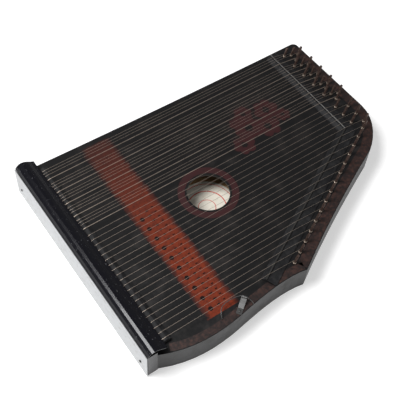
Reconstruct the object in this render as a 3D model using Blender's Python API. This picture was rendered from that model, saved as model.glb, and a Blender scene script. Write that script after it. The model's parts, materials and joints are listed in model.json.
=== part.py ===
"""Chord zither: a wooden sound box under 41 strings, with tuning pins, two bridges, a sheet-metal
tail cover and a spring sheet holder.

Plan places are in millimetres from the centre of the sound hole, with +X along the strings from the
tail to the tuning pins and +Y towards the straight back edge. Heights are in millimetres above the
soundboard's top, so the box lies below zero. Everything is moved at the end so that the object's
origin is the middle of its footprint, at the height of the table.
"""

import math

import bmesh
import bpy
from mathutils import Vector

for old in list(bpy.data.objects):
    bpy.data.objects.remove(old, do_unlink=True)

# Sound box
BODY_DEPTH = 40.3
PLATE = 3.0
RIM = 7.0
GLUE = 0.25
TAIL_X = -207.2
HOLE_R = 30.0
BLOCK_TAIL_X = -172.0
BRACE_X = -62.0
BRACE_WIDTH = 12.0
BRACE_DEPTH = 16.0
BRACE_FRONT_Y = -167.5
BRACE_BACK_Y = 157.5
BLOCK_INSIDE = 6.0

# Corners of the plan
TAIL_BACK = (TAIL_X, 169.5)
BACK_BEND = (30.0, 162.5)
BACK_CORNER_R = 8.0
BACK_RIGHT = (281.6, 162.7)
RIGHT_BEND = (286.0, 5.0)
RIGHT_TURN = (240.0, -67.0)
POINT = (38.0, -172.0)
BELLY = (-62.0, -175.6)
TAIL_FRONT = (-190.0, -165.2)

# Strings: the chords are five groups of three thin strings and a bass, then 21 melody strings
BASS_Y = (133.0, 107.8, 84.7, 61.3, 37.2)
THIN_STEPS = (16.6, 12.0, 7.4)
MELODY_FIRST_Y = 25.1
MELODY_PITCH = 8.895
MELODY_COUNT = 21
THIN_R = 0.2
BASS_R = 0.45
STRING_GAP = 0.2

# Bridges
TAIL_BRIDGE_X = -172.0
TAIL_BRIDGE_HALF = 5.7
TAIL_BRIDGE_SHOULDER = 4.7
CREST_HALF = 0.6
BRIDGE_HEIGHT = 7.9
BRIDGE_WIRE_R = 1.1
WIRE_BACK = (228.3, 156.5)
WIRE_CORNER = (231.2, -19.3)
WIRE_FRONT = (-19.0, -156.3)
BRIDGE_HALF = 156.0
PIN_RAIL = [(-8.0, 0.3), (15.0, 0.3), (15.0, 1.5), (8.0, 3.6), (2.0, 5.4), (-2.0, 5.4), (-7.0, 2.0)]
HITCH_X = -197.0
HITCH_Z = 3.0
HITCH_HALF = 2.5
HITCH_TOP = 4.0

# Tuning pins
PIN_R = 1.9
PIN_ABOVE = 17.4
PIN_BELOW = 26.0
PIN_SQUARE = 6.2
PIN_LEAN = math.radians(14)
PIN_HOLE_R = 2.5
PIN_HOLE_DEPTH = 29.0
STRING_END_Z = 3.5
CHORD_PIN_STEPS = (20.0, 30.0, 40.0)
CHORD_BASS_STEP = 30.0
MELODY_PIN_STEPS = (18.5, 35.5)
MELODY_ROW_OUT = 20.0

# Tail metal
COVER_SHEET = 0.8
COVER_TOP = 19.5
COVER_FLANGE = 13.0
COVER_EDGE = (-178.5, 10.2)
EAR_WIDTH = 14.0
STRIP_SHEET = 0.8
NAIL_HEAD_R = 2.2
NAIL_R = 0.8
NAIL_LENGTH = 14.0
NAIL_PLACES = {"upper": (157.5, -21.3), "lower": (-151.0, -22.2)}

# Sheet holder: a leaf spring screwed to the board, curled round a wire bow at its raised end
HOLDER_FOOT = (-76.5, -174.6)
HOLDER_TURN = math.atan2(13.6, 19.1)
HOLDER_WIDTH = 7.5
HOLDER_SHEET = 0.8
CURL_OUT = 22.5
CURL_Z = 7.4
CURL_R = 1.3
BOW_R = 0.6
BOW_LEFT = [
    (-98.0, -169.0, 1.4),
    (-96.0, -164.0, 4.6),
    (-93.2, -159.7, 6.4),
    (-89.0, -156.5, 7.2),
    (-83.5, -154.9, 7.4),
    (-76.0, -154.6, 7.4),
    (-68.0, -155.3, 7.4),
]
BOW_RIGHT = [(-53.0, -170.5, 5.5), (-52.2, -174.5, 1.8)]
SCREW_OUT = 4.4
SCREW_HEAD_R = 2.0
SCREW_R = 0.9
SCREW_LENGTH = 9.0

# The sound hole's place from the middle of the footprint
HOLE_X = -38.35
HOLE_Y = 5.18
MM = 0.001

COLOURS = {
    "black_lacquer": ((0.03, 0.028, 0.03), 0.0, 0.4),
    "bare_wood": ((0.42, 0.27, 0.14), 0.0, 0.6),
    "japanned_steel": ((0.02, 0.02, 0.025), 0.3, 0.2),
    "nickel": ((0.75, 0.75, 0.73), 1.0, 0.3),
    "pin_steel": ((0.22, 0.15, 0.12), 0.9, 0.5),
    "string_steel": ((0.55, 0.53, 0.5), 1.0, 0.35),
}


def material(name):
    """The named finish, made the first time it is asked for."""
    if name in bpy.data.materials:
        return bpy.data.materials[name]
    colour, metallic, roughness = COLOURS[name]
    made = bpy.data.materials.new(name)
    made.use_nodes = True
    shader = made.node_tree.nodes["Principled BSDF"]
    shader.inputs["Base Color"].default_value = (*colour, 1.0)
    shader.inputs["Metallic"].default_value = metallic
    shader.inputs["Roughness"].default_value = roughness
    return made


def place(x, y, z):
    """A point of the object, in metres, from millimetres about the sound hole."""
    return Vector((x + HOLE_X, y + HOLE_Y, z + BODY_DEPTH)) * MM


def add(name, points, faces, finish, origin=None, turn=None, cutter=False):
    """An object from points already in metres. origin is its own zero, and turn its rotation."""
    mesh = bpy.data.meshes.new(name)
    mesh.from_pydata([tuple(p) for p in points], [], faces)
    work = bmesh.new()
    work.from_mesh(mesh)
    bmesh.ops.recalc_face_normals(work, faces=work.faces)
    work.to_mesh(mesh)
    work.free()
    mesh.shade_smooth()
    mesh.set_sharp_from_angle(angle=math.radians(35))
    obj = bpy.data.objects.new(name, mesh)
    bpy.context.scene.collection.objects.link(obj)
    mesh.materials.append(material(finish))
    if origin is not None:
        obj.location = origin
    if turn is not None:
        obj.rotation_euler = turn
    if cutter:
        obj.hide_render = True
        obj.display_type = "WIRE"
    return obj


def loft(rings):
    """Points and faces of a closed body through rings of equal size, with flat ends."""
    points = [p for ring in rings for p in ring]
    size = len(rings[0])
    faces = [tuple(range(size - 1, -1, -1)), tuple(range(len(points) - size, len(points)))]
    for row in range(len(rings) - 1):
        for k in range(size):
            a = row * size + k
            b = row * size + (k + 1) % size
            faces.append((a, b, b + size, a + size))
    return points, faces


def together(bodies):
    """Several bodies' points and faces as one list of each."""
    points, faces = [], []
    for body_points, body_faces in bodies:
        start = len(points)
        points += body_points
        faces += [tuple(start + k for k in face) for face in body_faces]
    return points, faces


def board(name, outline, low, high, finish):
    """An upright prism over a plan outline, between two heights."""
    rings = [[place(x, y, z) for x, y in outline] for z in (low, high)]
    return add(name, *loft(rings), finish)


def bezier(start, pull_start, pull_end, end, steps):
    """Points of a cubic curve after its start, up to and with its end."""
    found = []
    for k in range(1, steps + 1):
        t = k / steps
        weights = ((1 - t) ** 3, 3 * t * (1 - t) ** 2, 3 * t * t * (1 - t), t**3)
        found.append(
            tuple(
                sum(w * p[axis] for w, p in zip(weights, (start, pull_start, pull_end, end)))
                for axis in (0, 1)
            )
        )
    return found


def inset(path, distance):
    """An open plan path moved to its left by a distance, with mitred bends."""
    moved = []
    for k, here in enumerate(path):
        normals = []
        for a, b in ((k - 1, k), (k, k + 1)):
            if a < 0 or b >= len(path):
                continue
            run = Vector(path[b]) - Vector(path[a])
            normals.append(Vector((-run.y, run.x)).normalized())
        middle = sum(normals, Vector((0, 0))).normalized()
        reach = distance / middle.dot(normals[0])
        moved.append((here[0] + middle.x * reach, here[1] + middle.y * reach))
    return moved


def along(path, profile):
    """A profile of (sideways, height) pairs swept along a plan path, as points and faces."""
    sides = {u: inset(path, u) for u, _ in profile}
    rings = [[place(*sides[u][k], z) for u, z in profile] for k in range(len(path))]
    return loft(rings)


def wire(centres, radius, sides, shift=None):
    """A round wire through points in metres. shift is taken from every point."""
    centres = [Vector(c) - (shift or Vector((0, 0, 0))) for c in centres]
    rings = []
    up = Vector((0, 0, 1))
    for k, centre in enumerate(centres):
        before = centre - centres[max(k - 1, 0)]
        after = centres[min(k + 1, len(centres) - 1)] - centre
        if not before.length:
            before = after
        if not after.length:
            after = before
        before.normalize()
        after.normalize()
        run = (before + after).normalized()
        across = run.cross(up).normalized()
        rise = across.cross(run)
        stretch = 1 / max(run.dot(after), 0.7)
        bend = after - before
        if bend.length > 1e-4:
            bend.normalize()
        ring = []
        for s in range(sides):
            angle = 2 * math.pi * (s + 0.5) / sides
            spoke = across * math.cos(angle) + rise * math.sin(angle)
            spoke += bend * spoke.dot(bend) * (stretch - 1)
            ring.append(centre + spoke * radius * MM)
        rings.append(ring)
    return loft(rings)


def cylinder(low, high, radius, sides):
    """A straight cylinder between two points in metres."""
    run = (high - low).normalized()
    across = run.orthogonal().normalized()
    other = run.cross(across)
    rings = []
    for centre in (low, high):
        ring = []
        for s in range(sides):
            angle = 2 * math.pi * s / sides
            ring.append(centre + (across * math.cos(angle) + other * math.sin(angle)) * radius * MM)
        rings.append(ring)
    return loft(rings)


def cut(obj, cutter, operation="DIFFERENCE"):
    """A live exact Boolean of one object by another."""
    step = obj.modifiers.new(cutter.name, "BOOLEAN")
    step.solver = "EXACT"
    step.operation = operation
    step.object = cutter


# Plan outline, walked with the box on the left: front, right, back
front_path = [TAIL_FRONT]
front_path += bezier(TAIL_FRONT, (-145.0, -186.0), (-100.0, -182.5), BELLY, 9)
front_path += bezier(BELLY, (-30.0, -170.5), (10.0, -165.5), POINT, 8)
front_path.insert(0, (TAIL_X, TAIL_FRONT[1]))
right_path = [POINT]
right_path += bezier(POINT, (106.0, -131.2), (172.0, -98.5), RIGHT_TURN, 7)
right_path += bezier(RIGHT_TURN, (262.0, -53.0), (287.0, -25.0), RIGHT_BEND, 7)
right_path.append((BACK_RIGHT[0], BACK_RIGHT[1] - BACK_CORNER_R - 1.5))
corner_centre = (BACK_RIGHT[0] - BACK_CORNER_R, BACK_RIGHT[1] - BACK_CORNER_R)
back_path = [right_path[-1]]
for step in range(5):
    angle = math.radians(22.5 * step)
    back_path.append(
        (
            corner_centre[0] + BACK_CORNER_R * math.cos(angle),
            corner_centre[1] + BACK_CORNER_R * math.sin(angle),
        )
    )
back_end = back_path[-1]
back_path += bezier(back_end, (110.0, 162.6), (-60.0, 164.8), TAIL_BACK, 8)
outline = front_path[:-1] + right_path[:-1] + back_path

# Pins and strings: (name, string y, string radius, wire x, pin x)
wire_slope = (WIRE_CORNER[1] - WIRE_FRONT[1]) / (WIRE_CORNER[0] - WIRE_FRONT[0])
wire_lean = (WIRE_CORNER[0] - WIRE_BACK[0]) / (WIRE_CORNER[1] - WIRE_BACK[1])


def wire_x(y):
    """Where the pin-side bridge wire crosses a string."""
    if y > WIRE_CORNER[1]:
        return WIRE_BACK[0] + (y - WIRE_BACK[1]) * wire_lean
    return WIRE_CORNER[0] + (y - WIRE_CORNER[1]) / wire_slope


courses = []
for group, bass_y in enumerate(BASS_Y, start=1):
    for letter, up, out in zip("abc", THIN_STEPS, CHORD_PIN_STEPS):
        y = bass_y + up
        courses.append((f"chord_{group}_{letter}", y, THIN_R, wire_x(y), wire_x(y) + out))
    bass_x = wire_x(bass_y)
    courses.append((f"chord_{group}_bass", bass_y, BASS_R, bass_x, bass_x + CHORD_BASS_STEP))
diagonal_step = MELODY_ROW_OUT / math.sin(math.atan(wire_slope))
for number in range(1, MELODY_COUNT + 1):
    y = MELODY_FIRST_Y - MELODY_PITCH * (number - 1)
    x = wire_x(y)
    out = MELODY_PIN_STEPS[(number + 1) % 2] if y > WIRE_CORNER[1] - 1 else diagonal_step
    courses.append((f"melody_{number:02d}", y, THIN_R, x, x + out))

lean_axis = Vector((math.sin(PIN_LEAN), 0, math.cos(PIN_LEAN)))


def pin_place(course):
    """Where a tuning pin's axis meets the soundboard: beside its string's end."""
    _, y, radius, _, x = course
    return place(x, y - radius - STRING_GAP - PIN_R, 0)


# Cutters
pin_holes = add(
    "cut_pin_holes",
    *together(
        cylinder(
            pin_place(c) - lean_axis * PIN_HOLE_DEPTH * MM,
            pin_place(c) + lean_axis * 4 * MM,
            PIN_HOLE_R,
            8,
        )
        for c in courses
    ),
    "bare_wood",
    cutter=True,
)
sound_hole = add(
    "cut_sound_hole",
    *cylinder(place(0, 0, -PLATE - 2), place(0, 0, 2), HOLE_R, 36),
    "bare_wood",
    cutter=True,
)
nail_holes = add(
    "cut_nail_holes",
    *together(
        cylinder(place(TAIL_X - 3, y, z), place(TAIL_X + NAIL_LENGTH + 1, y, z), NAIL_R + 0.4, 8)
        for y, z in NAIL_PLACES.values()
    ),
    "bare_wood",
    cutter=True,
)
holder_run = Vector((math.cos(HOLDER_TURN), math.sin(HOLDER_TURN), 0))
holder_side = Vector((-holder_run.y, holder_run.x, 0))
screw_at = place(*HOLDER_FOOT, 0) + holder_run * SCREW_OUT * MM
rise = Vector((0, 0, MM))
screw_hole = add(
    "cut_screw_hole",
    *cylinder(screw_at - rise * (SCREW_LENGTH + 1), screw_at + rise * 3, SCREW_R + 0.3, 8),
    "bare_wood",
    cutter=True,
)

# Sound box: two plates, three rims, two blocks and a brace
top_plate = board("top_plate", outline, -PLATE, 0, "black_lacquer")
cut(top_plate, pin_holes)
cut(top_plate, sound_hole)
cut(top_plate, screw_hole)
back_plate = board("back_plate", outline, -BODY_DEPTH, -BODY_DEPTH + PLATE, "black_lacquer")
rim_low = -BODY_DEPTH + PLATE + GLUE
rim_high = -PLATE - GLUE


def rim(name, path, start, end):
    """One side of the box. start and end shorten its outer and its inner face there."""
    outer = [Vector(p) for p in path]
    inner = [Vector(p) for p in inset(path, RIM)]
    for line, first, last in ((outer, start[0], end[0]), (inner, start[1], end[1])):
        line[0] += (line[1] - line[0]).normalized() * first
        line[-1] += (line[-2] - line[-1]).normalized() * last
    walls = [tuple(p) for p in outer] + [tuple(p) for p in reversed(inner)]
    return board(name, walls, rim_low, rim_high, "black_lacquer")


# The front rim and the right rim meet in a mitre at the point
front_run = Vector(front_path[-1]) - Vector(front_path[-2])
right_run = Vector(right_path[1]) - Vector(right_path[0])
mitre = GLUE + RIM * math.tan(front_run.angle(right_run) / 2)
side_front = rim("side_front", front_path, (0, 0), (GLUE, mitre))
side_right = rim("side_right", right_path, (GLUE, mitre), (2 * GLUE, 2 * GLUE))
side_back = rim("side_back", back_path, (0, 0), (0, 0))
cut(side_front, screw_hole)

tail_low = TAIL_FRONT[1] + RIM + GLUE
tail_high = TAIL_BACK[1] - RIM - 2.0
tail_walls = [
    (TAIL_X, tail_low),
    (BLOCK_TAIL_X, tail_low),
    (BLOCK_TAIL_X, tail_high),
    (TAIL_X, tail_high),
]
tail_block = board("tail_block", tail_walls, rim_low, rim_high, "bare_wood")
cut(tail_block, nail_holes)

block_walls = inset(front_path[-4:] + right_path[1:], RIM + GLUE)
block_start = block_walls[0]
inner_y = WIRE_CORNER[1] + (block_start[0] - WIRE_CORNER[0]) * wire_slope + BLOCK_INSIDE
block_walls += [
    (WIRE_BACK[0] - BLOCK_INSIDE, block_walls[-1][1]),
    (WIRE_CORNER[0] - BLOCK_INSIDE, WIRE_CORNER[1] + BLOCK_INSIDE / 2),
    (block_start[0], inner_y),
]
pin_block = board("pin_block", block_walls, rim_low, rim_high, "bare_wood")
cut(pin_block, pin_holes)

brace_walls = [
    (BRACE_X - BRACE_WIDTH / 2, BRACE_FRONT_Y),
    (BRACE_X + BRACE_WIDTH / 2, BRACE_FRONT_Y),
    (BRACE_X + BRACE_WIDTH / 2, BRACE_BACK_Y),
    (BRACE_X - BRACE_WIDTH / 2, BRACE_BACK_Y),
]
board("soundboard_brace", brace_walls, rim_high - BRACE_DEPTH, rim_high, "bare_wood")


def rail(profile, low_y, high_y):
    """A straight bar along Y whose section is a loop of (x, height) pairs."""
    return loft([[place(x, y, z) for x, z in profile] for y in (low_y, high_y)])


# Bridges: a rail with a rounded crest at the tail, and a bent rail under a steel wire at the pins
tail_rail = [
    (TAIL_BRIDGE_X - TAIL_BRIDGE_HALF, GLUE),
    (TAIL_BRIDGE_X + TAIL_BRIDGE_HALF, GLUE),
    (TAIL_BRIDGE_X + TAIL_BRIDGE_HALF, TAIL_BRIDGE_SHOULDER),
    (TAIL_BRIDGE_X + CREST_HALF, BRIDGE_HEIGHT),
    (TAIL_BRIDGE_X - CREST_HALF, BRIDGE_HEIGHT),
    (TAIL_BRIDGE_X - TAIL_BRIDGE_HALF, TAIL_BRIDGE_SHOULDER),
]
add("tail_bridge", *rail(tail_rail, -BRIDGE_HALF, BRIDGE_HALF), "black_lacquer")
wire_path = [WIRE_BACK, WIRE_CORNER, WIRE_FRONT]
add("pin_bridge", *along(wire_path, PIN_RAIL), "black_lacquer")
wire_z = BRIDGE_HEIGHT - BRIDGE_WIRE_R
add("pin_bridge_wire", *wire([place(x, y, wire_z) for x, y in wire_path], BRIDGE_WIRE_R, 6), "nickel")


# Strings, hooked at the tail on one hitch bar that the cover hides
def string_run(course):
    """A string from its hitch over both bridges to the side of its pin."""
    _, y, radius, bridge_x, pin_x = course
    top = BRIDGE_HEIGHT + STRING_GAP + radius
    return wire(
        [
            place(HITCH_X, y, HITCH_Z),
            place(TAIL_BRIDGE_X - CREST_HALF, y, top),
            place(bridge_x, y, top),
            place(pin_x + STRING_END_Z * math.tan(PIN_LEAN), y, STRING_END_Z),
        ],
        radius,
        4,
    )


hitch_profile = [
    (HITCH_X - HITCH_HALF, GLUE),
    (HITCH_X + HITCH_HALF, GLUE),
    (HITCH_X + HITCH_HALF, HITCH_TOP),
    (HITCH_X - HITCH_HALF, HITCH_TOP),
]
hitch_low = courses[-1][1] - 2
hitch_high = courses[0][1] + 2
strings = add("strings", *rail(hitch_profile, hitch_low, hitch_high), "string_steel")
runs = add("join_strings", *together(string_run(c) for c in courses), "string_steel", cutter=True)
cut(strings, runs, "UNION")


def turned(stations, sides=8):
    """A body along its own +Z through (height, radius, squareness) stations, in metres."""
    rings = []
    for height, radius, square in stations:
        ring = []
        for k in range(sides):
            angle = 2 * math.pi * k / sides
            reach = radius * (1 + (math.sqrt(2) - 1) * square * (k % 2)) * MM
            ring.append(Vector((reach * math.cos(angle), reach * math.sin(angle), height * MM)))
        rings.append(ring)
    return loft(rings)


# Tuning pins, each with its own zero on its leaning axis at the soundboard
shoulder = PIN_ABOVE - PIN_SQUARE
pin_stations = [
    (-PIN_BELOW, PIN_R, 0),
    (shoulder, PIN_R, 0),
    (shoulder + 1.0, PIN_R * 0.8, 1),
    (PIN_ABOVE, PIN_R * 0.7, 1),
]
for course in courses:
    add(
        "pin_" + course[0],
        *turned(pin_stations),
        "pin_steel",
        origin=pin_place(course),
        turn=(0, PIN_LEAN, 0),
    )

# Tail cover: a folded sheet over the hitch bar, with an ear down each end of the box
cover_back_x = TAIL_X + 0.6
cover_line = [
    (cover_back_x, GLUE),
    (cover_back_x, COVER_FLANGE),
    (cover_back_x + 2.6, COVER_TOP - 3.0),
    (cover_back_x + 6.0, COVER_TOP - 0.8),
    (cover_back_x + 9.6, COVER_TOP),
    (cover_back_x + 14.1, COVER_TOP - 0.9),
    (cover_back_x + 18.6, COVER_TOP - 3.3),
    (cover_back_x + 23.6, COVER_TOP - 6.9),
    COVER_EDGE,
]
cover_profile = cover_line + list(reversed(inset(cover_line, -COVER_SHEET)))
cover_low = TAIL_FRONT[1] - GLUE - COVER_SHEET - 0.05
cover_high = TAIL_BACK[1] + GLUE + COVER_SHEET + 0.05
tail_cover = add("tail_cover", *rail(cover_profile, cover_low, cover_high), "japanned_steel")
ear_section = [
    (cover_back_x + 0.1, -BODY_DEPTH + 2),
    (cover_back_x + EAR_WIDTH, -BODY_DEPTH + 2),
    (cover_back_x + EAR_WIDTH, COVER_FLANGE - 1),
    (cover_back_x + 0.1, COVER_FLANGE - 1),
]
ears = add(
    "join_cover_ears",
    *together(
        rail(ear_section, low, low + COVER_SHEET)
        for low in (cover_low + 0.05, cover_high - 0.05 - COVER_SHEET)
    ),
    "japanned_steel",
    cutter=True,
)
cut(tail_cover, ears, "UNION")

strip_back = TAIL_X - GLUE
strip_profile = [
    (strip_back - STRIP_SHEET, GLUE - BODY_DEPTH),
    (strip_back, GLUE - BODY_DEPTH),
    (strip_back, COVER_FLANGE - 0.2),
    (strip_back - STRIP_SHEET, COVER_FLANGE - 0.2),
]
end_strip = add("end_strip", *rail(strip_profile, cover_low, cover_high), "nickel")
cut(end_strip, nail_holes)
nail_stations = [
    (0, NAIL_R, 0),
    (NAIL_LENGTH, NAIL_R, 0),
    (NAIL_LENGTH, NAIL_HEAD_R, 0),
    (NAIL_LENGTH + 0.5, NAIL_HEAD_R * 0.8, 0),
    (NAIL_LENGTH + 0.8, NAIL_HEAD_R * 0.35, 0),
]
for label, (y, z) in NAIL_PLACES.items():
    inner_end = strip_back - STRIP_SHEET - GLUE + NAIL_LENGTH
    add(
        "end_strip_nail_" + label,
        *turned(nail_stations),
        "nickel",
        origin=place(inner_end, y, z),
        turn=(0, math.radians(-90), 0),
    )

# Sheet holder: the leaf spring, its screw, and the bow that swings in its curl
foot = place(*HOLDER_FOOT, 0)
leaf_line = [(0, 0.7), (9.0, 0.7), (14.5, 3.0), (19.3, 5.4)]
for degrees in range(-110, 200, 50):
    angle = math.radians(degrees)
    leaf_line.append((CURL_OUT + CURL_R * math.cos(angle), CURL_Z + CURL_R * math.sin(angle)))
leaf = inset(leaf_line, HOLDER_SHEET / 2) + list(reversed(inset(leaf_line, -HOLDER_SHEET / 2)))
leaf_rings = []
for half in (-HOLDER_WIDTH / 2, HOLDER_WIDTH / 2):
    edge = foot + holder_side * half * MM
    leaf_rings.append([edge + holder_run * out * MM + rise * up for out, up in leaf])
spring = add("sheet_holder_spring", *loft(leaf_rings), "nickel")
cut(spring, screw_hole)
screw_stations = [
    (-SCREW_LENGTH, SCREW_R, 0),
    (HOLDER_SHEET + 0.6, SCREW_R, 0),
    (HOLDER_SHEET + 0.6, SCREW_HEAD_R, 0),
    (HOLDER_SHEET + 1.3, SCREW_HEAD_R * 0.75, 0),
    (HOLDER_SHEET + 1.6, SCREW_HEAD_R * 0.3, 0),
]
add("sheet_holder_screw", *turned(screw_stations), "nickel", origin=screw_at)
curl_at = foot + holder_run * CURL_OUT * MM + rise * CURL_Z
bow_points = [place(*p) for p in BOW_LEFT]
bow_points += [curl_at + holder_side * side * MM for side in (5.5, -5.5)]
bow_points += [place(*p) for p in BOW_RIGHT]
add(
    "sheet_holder_bow",
    *wire(bow_points, BOW_R, 6, shift=curl_at),
    "nickel",
    origin=curl_at,
)
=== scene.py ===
import json
import math

import bpy
import numpy as np
from mathutils import Matrix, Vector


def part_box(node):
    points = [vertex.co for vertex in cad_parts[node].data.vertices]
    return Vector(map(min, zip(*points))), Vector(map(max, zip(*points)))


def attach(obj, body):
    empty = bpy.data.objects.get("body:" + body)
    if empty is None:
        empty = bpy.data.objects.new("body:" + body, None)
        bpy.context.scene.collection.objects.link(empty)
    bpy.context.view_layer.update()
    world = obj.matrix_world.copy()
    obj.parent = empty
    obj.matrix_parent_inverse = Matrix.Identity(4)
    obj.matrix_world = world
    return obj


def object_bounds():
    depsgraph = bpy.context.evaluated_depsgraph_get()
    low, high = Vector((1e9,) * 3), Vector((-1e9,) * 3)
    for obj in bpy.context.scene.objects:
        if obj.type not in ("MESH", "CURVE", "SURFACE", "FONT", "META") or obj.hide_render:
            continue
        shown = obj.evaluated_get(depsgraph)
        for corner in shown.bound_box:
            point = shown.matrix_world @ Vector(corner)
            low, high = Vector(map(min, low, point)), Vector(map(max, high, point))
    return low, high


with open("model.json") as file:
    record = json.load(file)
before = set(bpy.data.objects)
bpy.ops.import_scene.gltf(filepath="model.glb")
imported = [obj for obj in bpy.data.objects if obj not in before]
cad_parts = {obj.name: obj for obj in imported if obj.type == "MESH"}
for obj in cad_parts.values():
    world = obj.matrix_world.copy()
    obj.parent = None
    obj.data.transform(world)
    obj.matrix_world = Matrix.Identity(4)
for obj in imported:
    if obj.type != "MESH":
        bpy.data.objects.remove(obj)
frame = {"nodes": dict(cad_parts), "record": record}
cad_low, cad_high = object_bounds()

# Sound box. Thin plates and rims of softwood, glued round two hardwood blocks and sprayed
# with black lacquer, which has dulled and rubbed through to brown at the edges.
MM = 0.001
hole_low, hole_high = frame["record"]["physics"]["openings"][0]["box_m"]
HOLE_X = (hole_low[0] + hole_high[0]) / 2
HOLE_Y = (hole_low[1] + hole_high[1]) / 2
BOARD_TOP = float(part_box("top_plate")[1][2])
BACK_INSIDE = float(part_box("back_plate")[1][2])
FULLY_WORN = 0.8
GRAIN_SCALE = 1800
GRAIN_DEPTH = 0.0002


def wear_group():
    """A node group of mottled wear: two noises give a colour mask and a fine height."""
    group = bpy.data.node_groups.new("worn_surface", "ShaderNodeTree")
    face = group.interface
    face.new_socket("Scale", in_out="INPUT", socket_type="NodeSocketFloat")
    face.new_socket("Coverage", in_out="INPUT", socket_type="NodeSocketFloat")
    face.new_socket("Mask", in_out="OUTPUT", socket_type="NodeSocketFloat")
    face.new_socket("Height", in_out="OUTPUT", socket_type="NodeSocketFloat")
    nodes, links = group.nodes, group.links
    entry = nodes.new("NodeGroupInput")
    leave = nodes.new("NodeGroupOutput")
    where = nodes.new("ShaderNodeTexCoord")
    coarse = nodes.new("ShaderNodeTexNoise")
    coarse.inputs["Detail"].default_value = 8
    coarse.inputs["Roughness"].default_value = 0.7
    links.new(where.outputs["Object"], coarse.inputs["Vector"])
    links.new(entry.outputs["Scale"], coarse.inputs["Scale"])
    ramp = nodes.new("ShaderNodeMapRange")
    ramp.interpolation_type = "SMOOTHSTEP"
    links.new(coarse.outputs["Fac"], ramp.inputs["Value"])
    links.new(entry.outputs["Coverage"], ramp.inputs["From Min"])
    ramp.inputs["From Max"].default_value = FULLY_WORN
    links.new(ramp.outputs["Result"], leave.inputs["Mask"])
    fine = nodes.new("ShaderNodeTexNoise")
    fine.inputs["Scale"].default_value = GRAIN_SCALE
    links.new(where.outputs["Object"], fine.inputs["Vector"])
    links.new(fine.outputs["Fac"], leave.inputs["Height"])
    return group


worn_surface = wear_group()


def finish(name, base, worn, roughness, worn_roughness, metallic=0.0, scale=60.0, coverage=0.45,
           bump=0.1, coat=0.0, specular=0.5):
    """A Principled material whose colour and roughness go from base to worn by the wear mask."""
    made = bpy.data.materials.new(name)
    made.use_nodes = True
    nodes, links = made.node_tree.nodes, made.node_tree.links
    shader = nodes["Principled BSDF"]
    wear = nodes.new("ShaderNodeGroup")
    wear.node_tree = worn_surface
    wear.inputs["Scale"].default_value = scale
    wear.inputs["Coverage"].default_value = coverage
    mix = nodes.new("ShaderNodeMix")
    mix.data_type = "RGBA"
    mix.inputs["A"].default_value = (*base, 1)
    mix.inputs["B"].default_value = (*worn, 1)
    links.new(wear.outputs["Mask"], mix.inputs["Factor"])
    links.new(mix.outputs["Result"], shader.inputs["Base Color"])
    rough = nodes.new("ShaderNodeMapRange")
    rough.inputs["To Min"].default_value = roughness
    rough.inputs["To Max"].default_value = worn_roughness
    links.new(wear.outputs["Mask"], rough.inputs["Value"])
    links.new(rough.outputs["Result"], shader.inputs["Roughness"])
    raised = nodes.new("ShaderNodeBump")
    raised.inputs["Strength"].default_value = bump
    raised.inputs["Distance"].default_value = GRAIN_DEPTH
    links.new(wear.outputs["Height"], raised.inputs["Height"])
    links.new(raised.outputs["Normal"], shader.inputs["Normal"])
    shader.inputs["Metallic"].default_value = metallic
    shader.inputs["Coat Weight"].default_value = coat
    shader.inputs["Specular IOR Level"].default_value = specular
    return made


def dress(material, *names):
    """Gives CAD pieces this material."""
    for name in names:
        slots = frame["nodes"][name].material_slots
        for slot in slots:
            slot.material = material


lacquer = finish("worn_black_lacquer", (0.0055, 0.0055, 0.006), (0.017, 0.014, 0.013), 0.36, 0.6,
                 scale=35, specular=0.35)
side_lacquer = finish("side_lacquer", (0.008, 0.008, 0.009), (0.03, 0.027, 0.025), 0.42, 0.65, scale=50,
                      specular=0.4)
inner_wood = finish("bare_inner_wood", (0.35, 0.2, 0.09), (0.5, 0.33, 0.18), 0.6, 0.7, scale=30)
dress(lacquer, "top_plate", "back_plate")
dress(side_lacquer, "side_front", "side_right", "side_back")
dress(inner_wood, "tail_block", "pin_block", "soundboard_brace")

# Bridges. Lacquered softwood rails, dusty on their slopes, with a nickel-plated steel wire
# laid over the bent one at the pins.
rail_paint = finish("dusty_rail_lacquer", (0.009, 0.009, 0.01), (0.032, 0.032, 0.033), 0.6, 0.8, scale=90,
                    coverage=0.38, specular=0.2)
nickel = finish("dulled_nickel", (0.42, 0.43, 0.44), (0.33, 0.32, 0.30), 0.35, 0.55, metallic=1.0,
                scale=140, coverage=0.5)
dress(rail_paint, "pin_bridge", "tail_bridge")
dull_wire = finish("tarnished_bridge_wire", (0.07, 0.068, 0.066), (0.03, 0.028, 0.026), 0.5, 0.7,
                   metallic=0.8, scale=250)
holder_nickel = finish("tarnished_holder_nickel", (0.13, 0.13, 0.13), (0.07, 0.065, 0.06), 0.42, 0.6,
                       metallic=0.9, scale=260)
dress(nickel, "end_strip")
dress(holder_nickel, "sheet_holder_spring", "sheet_holder_bow")
dress(dull_wire, "pin_bridge_wire", "end_strip_nail_upper", "end_strip_nail_lower", "sheet_holder_screw")

# Tail cover. Sheet steel folded over the hitch bar and stoved with glossy black japan, which
# is scratched through to bare metal in specks.
japan = finish("scratched_japan", (0.004, 0.004, 0.007), (0.42, 0.43, 0.45), 0.2, 0.4, metallic=0.2,
               scale=300, coverage=0.6, coat=0.1, specular=0.35)
dress(japan, "tail_cover")

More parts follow.
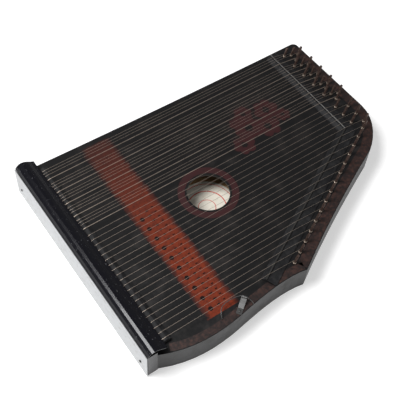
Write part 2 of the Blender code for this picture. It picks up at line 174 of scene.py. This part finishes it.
# Strings and pins. Drawn steel wire, warm and dull with age, and turned steel pins that have
# gone a rusty brown.
string_wire = finish("drawn_string_wire", (0.44, 0.37, 0.31), (0.2, 0.15, 0.12), 0.52, 0.65, metallic=0.9,
                     scale=200)
rust = finish("rusted_pin_steel", (0.11, 0.072, 0.06), (0.03, 0.012, 0.008), 0.42, 0.7, metallic=0.6,
              scale=300, coverage=0.4)
dress(string_wire, "strings")
pin_names = [name for name in frame["nodes"] if name.startswith(("pin_chord", "pin_melody"))]
dress(rust, *pin_names)


def surface(name, points, material, closed=False):
    """A mesh from a grid of points (rows, columns, 3): each cell is a quad. closed joins the last
    column to the first."""
    rows, columns = points.shape[:2]
    index = np.arange(rows * columns).reshape(rows, columns)
    right = np.roll(index, -1, axis=1) if closed else index[:, 1:]
    left = index if closed else index[:, :-1]
    quads = np.stack([left[:-1], right[:-1], right[1:], left[1:]], axis=-1).reshape(-1, 4)
    mesh = bpy.data.meshes.new(name)
    mesh.from_pydata(points.reshape(-1, 3).tolist(), [], quads.tolist())
    mesh.materials.append(material)
    mesh.shade_smooth()
    obj = bpy.data.objects.new(name, mesh)
    bpy.context.scene.collection.objects.link(obj)
    return obj


# String windings. Each string ends in three and a half turns round its pin, just above the
# board. A winding rides on its pin, so it turns when the string is tuned.
TURNS = 3.5
WINDING_R = 2.15 * MM
WIRE_R = 0.3 * MM
COIL_TOP = 3.6 * MM
COIL_DROP = 2.6 * MM
COIL_POINTS = 57
WIRE_SIDES = 6
PIN_LEAN = math.radians(14)
axis = np.array([math.sin(PIN_LEAN), 0, math.cos(PIN_LEAN)])
across = np.array([math.cos(PIN_LEAN), 0, -math.sin(PIN_LEAN)])
beside = np.array([0.0, 1.0, 0.0])
joint_places = {}
for joint in frame["record"]["behaviour"]["joints"]:
    joint_places[joint["child"]] = np.array(joint["pos_m"])


def winding(centre):
    """A helix about the pin's axis, with a small circle carried along it as the wire."""
    t = np.linspace(0, 1, COIL_POINTS)[:, None]
    angle = math.pi / 2 - 2 * math.pi * TURNS * t
    spoke = np.cos(angle) * across + np.sin(angle) * beside
    path = centre + spoke * WINDING_R + axis * (COIL_TOP - COIL_DROP * t)
    round_wire = np.linspace(0, 2 * math.pi, WIRE_SIDES, endpoint=False)[None, :, None]
    offset = np.cos(round_wire) * spoke[:, None] + np.sin(round_wire) * axis
    return path[:, None] + offset * WIRE_R


for name in pin_names:
    coil = surface("winding_" + name[4:], winding(joint_places[name]), string_wire, closed=True)
    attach(coil, name)


# Painted borders. A band of mottled brown transfer runs inside the front and right edges of
# the board and follows their curves.
def curve(start, pull_start, pull_end, end, count):
    """Points of a cubic curve: the four given points, weighted by the terms of (1 - t + t) cubed."""
    t = np.linspace(0, 1, count)[:, None]
    parts = [(1 - t) ** 3, 3 * t * (1 - t) ** 2, 3 * t * t * (1 - t), t**3]
    return sum(w * np.array(p) for w, p in zip(parts, (start, pull_start, pull_end, end)))


TRANSFER_LIFT = 0.06 * MM
BORDER_GAP = 1.0
FRONT_BORDER_TO = 12.0
RIGHT_BORDER_TO = 15.0
brown = finish("brown_border_transfer", (0.01, 0.006, 0.006), (0.06, 0.02, 0.012), 0.4, 0.65, scale=260,
               coverage=0.38)


def band(name, line, near, far, material):
    """A ribbon on the board between two distances inside an edge line: each point of the line is
    stepped along its own inward normal."""
    run = np.gradient(line, axis=0)
    inward = np.stack([-run[:, 1], run[:, 0]], axis=1)
    inward /= np.linalg.norm(inward, axis=1)[:, None]
    u = np.linspace(near, far, 4)[None, :, None]
    flat = line[:, None] + inward[:, None] * u
    points = np.empty(flat.shape[:2] + (3,))
    points[..., 0] = flat[..., 0] * MM + HOLE_X
    points[..., 1] = flat[..., 1] * MM + HOLE_Y
    points[..., 2] = BOARD_TOP + TRANSFER_LIFT
    piece = surface(name, points, material)
    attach(piece, "case")
    return piece


front = np.vstack([
    curve((-176.0, -169.6), (-145.0, -184.0), (-100.0, -182.5), (-62.0, -175.6), 24)[:-1],
    curve((-62.0, -175.6), (-30.0, -170.5), (10.0, -165.5), (36.0, -171.3), 24),
])
right = np.vstack([
    curve((40.0, -170.8), (106.0, -131.2), (172.0, -98.5), (240.0, -67.0), 30)[:-1],
    curve((240.0, -67.0), (262.0, -53.0), (287.0, -25.0), (286.0, 5.0), 20)[:-1],
    curve((286.0, 5.0), (285.0, 50.0), (283.5, 100.0), (281.8, 152.0), 20),
])
band("front_border", front, BORDER_GAP, FRONT_BORDER_TO, brown)
band("right_border", right, BORDER_GAP, RIGHT_BORDER_TO, brown)

# Marked strip. A strip of orange-red paper is pasted across the board under the strings. Twenty
# melody strings each have two short dark marks on it, and every second of them a dot as well.
orange = finish("orange_red_paper", (0.17, 0.024, 0.007), (0.04, 0.007, 0.005), 0.5, 0.7, scale=220,
                coverage=0.38, specular=0.2)


def soften(material, centre, half, far_y, near_y):
    """Darkens a strip's colour to the board's black over its long edges and towards its far end."""
    ragged_edge = 0.012
    solid_share = 0.55
    nodes, links = material.node_tree.nodes, material.node_tree.links
    shader = nodes["Principled BSDF"]
    colour = shader.inputs["Base Color"].links[0].from_socket
    where = nodes.new("ShaderNodeTexCoord")
    ragged = nodes.new("ShaderNodeTexNoise")
    ragged.inputs["Scale"].default_value = 160
    links.new(where.outputs["Object"], ragged.inputs["Vector"])
    parts = nodes.new("ShaderNodeSeparateXYZ")
    links.new(where.outputs["Object"], parts.inputs["Vector"])
    shift = nodes.new("ShaderNodeMath")
    shift.operation = "MULTIPLY_ADD"
    shift.inputs[1].default_value = ragged_edge
    links.new(ragged.outputs["Fac"], shift.inputs[0])
    links.new(parts.outputs["X"], shift.inputs[2])
    away = nodes.new("ShaderNodeMath")
    away.operation = "SUBTRACT"
    away.inputs[1].default_value = centre + ragged_edge / 2
    links.new(shift.outputs["Value"], away.inputs[0])
    size = nodes.new("ShaderNodeMath")
    size.operation = "ABSOLUTE"
    links.new(away.outputs["Value"], size.inputs[0])
    edge = nodes.new("ShaderNodeMapRange")
    edge.interpolation_type = "SMOOTHSTEP"
    edge.inputs["From Min"].default_value = half
    edge.inputs["From Max"].default_value = half * solid_share
    links.new(size.outputs["Value"], edge.inputs["Value"])
    fade = nodes.new("ShaderNodeMapRange")
    fade.inputs["From Min"].default_value = far_y
    fade.inputs["From Max"].default_value = near_y
    fade.inputs["To Min"].default_value = 0.2
    links.new(parts.outputs["Y"], fade.inputs["Value"])
    both = nodes.new("ShaderNodeMath")
    both.operation = "MULTIPLY"
    links.new(edge.outputs["Result"], both.inputs[0])
    links.new(fade.outputs["Result"], both.inputs[1])
    mix = nodes.new("ShaderNodeMix")
    mix.data_type = "RGBA"
    mix.inputs["A"].default_value = (0.008, 0.008, 0.009, 1)
    links.new(both.outputs["Value"], mix.inputs["Factor"])
    links.new(colour, mix.inputs["B"])
    links.new(mix.outputs["Result"], shader.inputs["Base Color"])


ink = finish("black_ink", (0.01, 0.006, 0.006), (0.03, 0.01, 0.008), 0.7, 0.8, scale=300, specular=0.1)
STRIP_FROM = -114.0
STRIP_TO = -64.0
STRIP_FRONT = -160.0
STRIP_BACK = 158.0
STRIP_FADE = 27.0
soften(orange, (STRIP_FROM + STRIP_TO) / 2 * MM + HOLE_X, STRIP_FADE * MM, 0.17, -0.04)
strip_y = np.linspace(STRIP_FRONT, STRIP_BACK, 40)
strip_line = np.column_stack([np.full_like(strip_y, STRIP_TO), strip_y])
band("number_strip", strip_line, 0.0, STRIP_TO - STRIP_FROM, orange)


BLOT_SIDES = 20
BLOT_RINGS = 4
BLOT_HEART = 0.02


def blot(name, x, y, width, height, material, lift):
    """A flat oval on the board: a radius that grows and an angle that goes round, in half widths."""
    r = np.linspace(BLOT_HEART, 1, BLOT_RINGS)[:, None]
    a = np.linspace(0, 2 * math.pi, BLOT_SIDES, endpoint=False)[None, :]
    points = np.empty((BLOT_RINGS, BLOT_SIDES, 3))
    points[..., 0] = (x + r * np.cos(a) * width / 2) * MM + HOLE_X
    points[..., 1] = (y - r * np.sin(a) * height / 2) * MM + HOLE_Y
    points[..., 2] = BOARD_TOP + lift
    piece = surface(name, points[::-1], material, closed=True)
    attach(piece, "case")
    return piece


MELODY_PITCH = 8.895
FIRST_MARK_Y = 20.6
MARKED_STRINGS = 20
DOT_X = -101.0
MARK_X = -88.5
TICK_X = -78.5
for number in range(MARKED_STRINGS):
    y = FIRST_MARK_Y - MELODY_PITCH * number
    if number % 2:
        blot(f"strip_dot_{number:02d}", DOT_X, y, 6.5, 6.5, ink, 2 * TRANSFER_LIFT)
    blot(f"strip_mark_{number:02d}", MARK_X, y, 5.0, 2.2, ink, 2 * TRANSFER_LIFT)
    blot(f"strip_tick_{number:02d}", TICK_X, y + 2, 4.0, 1.8, ink, 2 * TRANSFER_LIFT)

# Flower transfer. A dark red spray of round blossoms is printed beyond the sound hole, each
# of six overlapping petals with its own slight lift off the board.
blossom = finish("dark_red_transfer", (0.034, 0.006, 0.007), (0.011, 0.004, 0.005), 0.4, 0.6, scale=150)
PETALS = 6
PETAL_REACH = 0.42
PETAL_WIDTH = 0.5
FLOWER_LIFT = 0.4
SPRAY = [
    (92, 40, 26),
    (116, 62, 34),
    (142, 50, 30),
    (158, 76, 30),
    (124, 88, 22),
    (174, 56, 18),
    (104, 78, 16),
]
for flower, (x, y, size) in enumerate(SPRAY):
    for petal in range(PETALS):
        turn = 2 * math.pi * petal / PETALS
        px = x + size * PETAL_REACH * math.cos(turn)
        py = y + size * PETAL_REACH * math.sin(turn)
        lift = (2 + petal / 3 + flower * FLOWER_LIFT) * TRANSFER_LIFT
        across_petal = size * PETAL_WIDTH
        blot(f"petal_{flower}_{petal}", px, py, across_petal, across_petal, blossom, lift)

# Sound hole ring and label. The hole has a broad dark red ring round it, and a cream paper
# label with plain red rings is pasted on the back plate under it.
paper = finish("label_paper", (0.8, 0.75, 0.65), (0.66, 0.58, 0.46), 0.7, 0.8, scale=80, coverage=0.5)
red_ink = finish("label_red_ink", (0.6, 0.08, 0.05), (0.7, 0.3, 0.25), 0.7, 0.8, scale=500)


RING_SIDES = 72
RING_BANDS = 4


def ring(name, inner, outer, height, material):
    """A flat ring at a height: a radius from outer to inner and an angle about the hole's axis."""
    r = np.linspace(outer, inner, RING_BANDS)[:, None]
    a = np.linspace(0, 2 * math.pi, RING_SIDES, endpoint=False)[None, :]
    points = np.empty((RING_BANDS, RING_SIDES, 3))
    points[..., 0] = r * np.cos(a) * MM + HOLE_X
    points[..., 1] = -r * np.sin(a) * MM + HOLE_Y
    points[..., 2] = height
    piece = surface(name, points, material, closed=True)
    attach(piece, "case")
    return piece


HOLE_RING_FROM = 33.0
HOLE_RING_TO = 43.0
BARE_WOOD_R = 64.0
LABEL_R = 45.0
LABEL_RINGS = [(40.0, 41.0), (27.0, 28.5), (12.0, 13.0)]
DISC_HEART = 0.1
BARE_LIFT = 0.05 * MM
LABEL_LIFT = 0.15 * MM
LABEL_INK_LIFT = 0.25 * MM
ring("sound_hole_ring", HOLE_RING_FROM, HOLE_RING_TO, BOARD_TOP + TRANSFER_LIFT, blossom)
ring("bare_back_inside", DISC_HEART, BARE_WOOD_R, BACK_INSIDE + BARE_LIFT, inner_wood)
ring("label_paper_disc", DISC_HEART, LABEL_R, BACK_INSIDE + LABEL_LIFT, paper)
for count, (inner, outer) in enumerate(LABEL_RINGS):
    ring(f"label_ring_{count}", inner, outer, BACK_INSIDE + LABEL_INK_LIFT, red_ink)

# Studio. A pale floor that goes white in the camera and keeps the shadow. A soft key lamp
# stands behind the left end, and a weak fill lamp stands in front.
FLOOR_GAP = 0.0002
FLOOR_HALF = 6.0
FLOOR_GLOW = 0.45
SKY_LIGHT = 0.2
floor_corners = [(x * FLOOR_HALF, y * FLOOR_HALF, 0) for x, y in ((-1, -1), (1, -1), (1, 1), (-1, 1))]
floor_mesh = bpy.data.meshes.new("floor")
floor_mesh.from_pydata(floor_corners, [], [(0, 1, 2, 3)])
floor = bpy.data.objects.new("floor", floor_mesh)
floor.location.z = float(cad_low[2]) - FLOOR_GAP
bpy.context.scene.collection.objects.link(floor)
floor_paint = bpy.data.materials.new("white_floor")
floor_paint.use_nodes = True
nodes, links = floor_paint.node_tree.nodes, floor_paint.node_tree.links
nodes.clear()
matt = nodes.new("ShaderNodeBsdfDiffuse")
matt.inputs["Color"].default_value = (0.7, 0.7, 0.7, 1)
glow = nodes.new("ShaderNodeEmission")
glow.inputs["Color"].default_value = (1, 1, 1, 1)
path = nodes.new("ShaderNodeLightPath")
seen = nodes.new("ShaderNodeMath")
seen.operation = "MAXIMUM"
links.new(path.outputs["Is Camera Ray"], seen.inputs[0])
links.new(path.outputs["Is Glossy Ray"], seen.inputs[1])
level = nodes.new("ShaderNodeMath")
level.operation = "MULTIPLY"
level.inputs[1].default_value = FLOOR_GLOW
links.new(seen.outputs["Value"], level.inputs[0])
links.new(level.outputs["Value"], glow.inputs["Strength"])
both = nodes.new("ShaderNodeAddShader")
out = nodes.new("ShaderNodeOutputMaterial")
links.new(matt.outputs["BSDF"], both.inputs[0])
links.new(glow.outputs["Emission"], both.inputs[1])
links.new(both.outputs["Shader"], out.inputs["Surface"])
floor_mesh.materials.append(floor_paint)


def lamp(name, place, target, size, power):
    """A square area lamp at a place, facing a target."""
    data = bpy.data.lights.new(name, "AREA")
    data.size = size
    data.energy = power
    obj = bpy.data.objects.new(name, data)
    bpy.context.scene.collection.objects.link(obj)
    back = (np.array(place) - np.array(target)) / np.linalg.norm(np.array(place) - np.array(target))
    side = np.cross((0, 0, 1.0), back)
    side /= np.linalg.norm(side)
    rise = np.cross(back, side)
    turn = Matrix([[side[k], rise[k], back[k], place[k]] for k in range(3)] + [[0, 0, 0, 1]])
    obj.matrix_world = turn
    return obj


lamp("key_lamp", (-1.1, 0.5, 2.0), (0, 0, 0), 1.0, 62)
lamp("fill_lamp", (0.4, -1.9, 1.2), (0, 0, 0), 1.4, 10)
world = bpy.data.worlds.new("studio")
bpy.context.scene.world = world
world.use_nodes = True
sky = world.node_tree.nodes["Background"]
sky.inputs["Color"].default_value = (1, 1, 1, 1)
sky_nodes, sky_links = world.node_tree.nodes, world.node_tree.links
sky_path = sky_nodes.new("ShaderNodeLightPath")
sky_level = sky_nodes.new("ShaderNodeMapRange")
sky_level.inputs["To Min"].default_value = SKY_LIGHT
sky_level.inputs["To Max"].default_value = 1.0
sky_links.new(sky_path.outputs["Is Camera Ray"], sky_level.inputs["Value"])
sky_links.new(sky_level.outputs["Result"], sky.inputs["Strength"])
bpy.context.scene.view_settings.view_transform = "Standard"

# Camera. Placed by the photograph: about 1.16 m from the sound hole, 55 degrees above the
# board, looking over the front left corner.
camera_data = bpy.data.cameras.new("camera")
camera_data.lens = 75.445
camera_data.sensor_width = 36.0
camera = bpy.data.objects.new("camera", camera_data)
bpy.context.scene.collection.objects.link(camera)
view_right = (0.82059, -0.56991, 0.0429)
view_up = (0.45049, 0.69118, 0.5651)
view_back = (-0.3517, -0.44439, 0.82391)
EYE_FROM_HOLE = (-0.4231, -0.5170, 0.9507)
eye = (HOLE_X + EYE_FROM_HOLE[0], HOLE_Y + EYE_FROM_HOLE[1], BOARD_TOP + EYE_FROM_HOLE[2])
camera.matrix_world = Matrix(
    [[view_right[k], view_up[k], view_back[k], eye[k]] for k in range(3)] + [[0, 0, 0, 1]]
)
bpy.context.scene.camera = camera
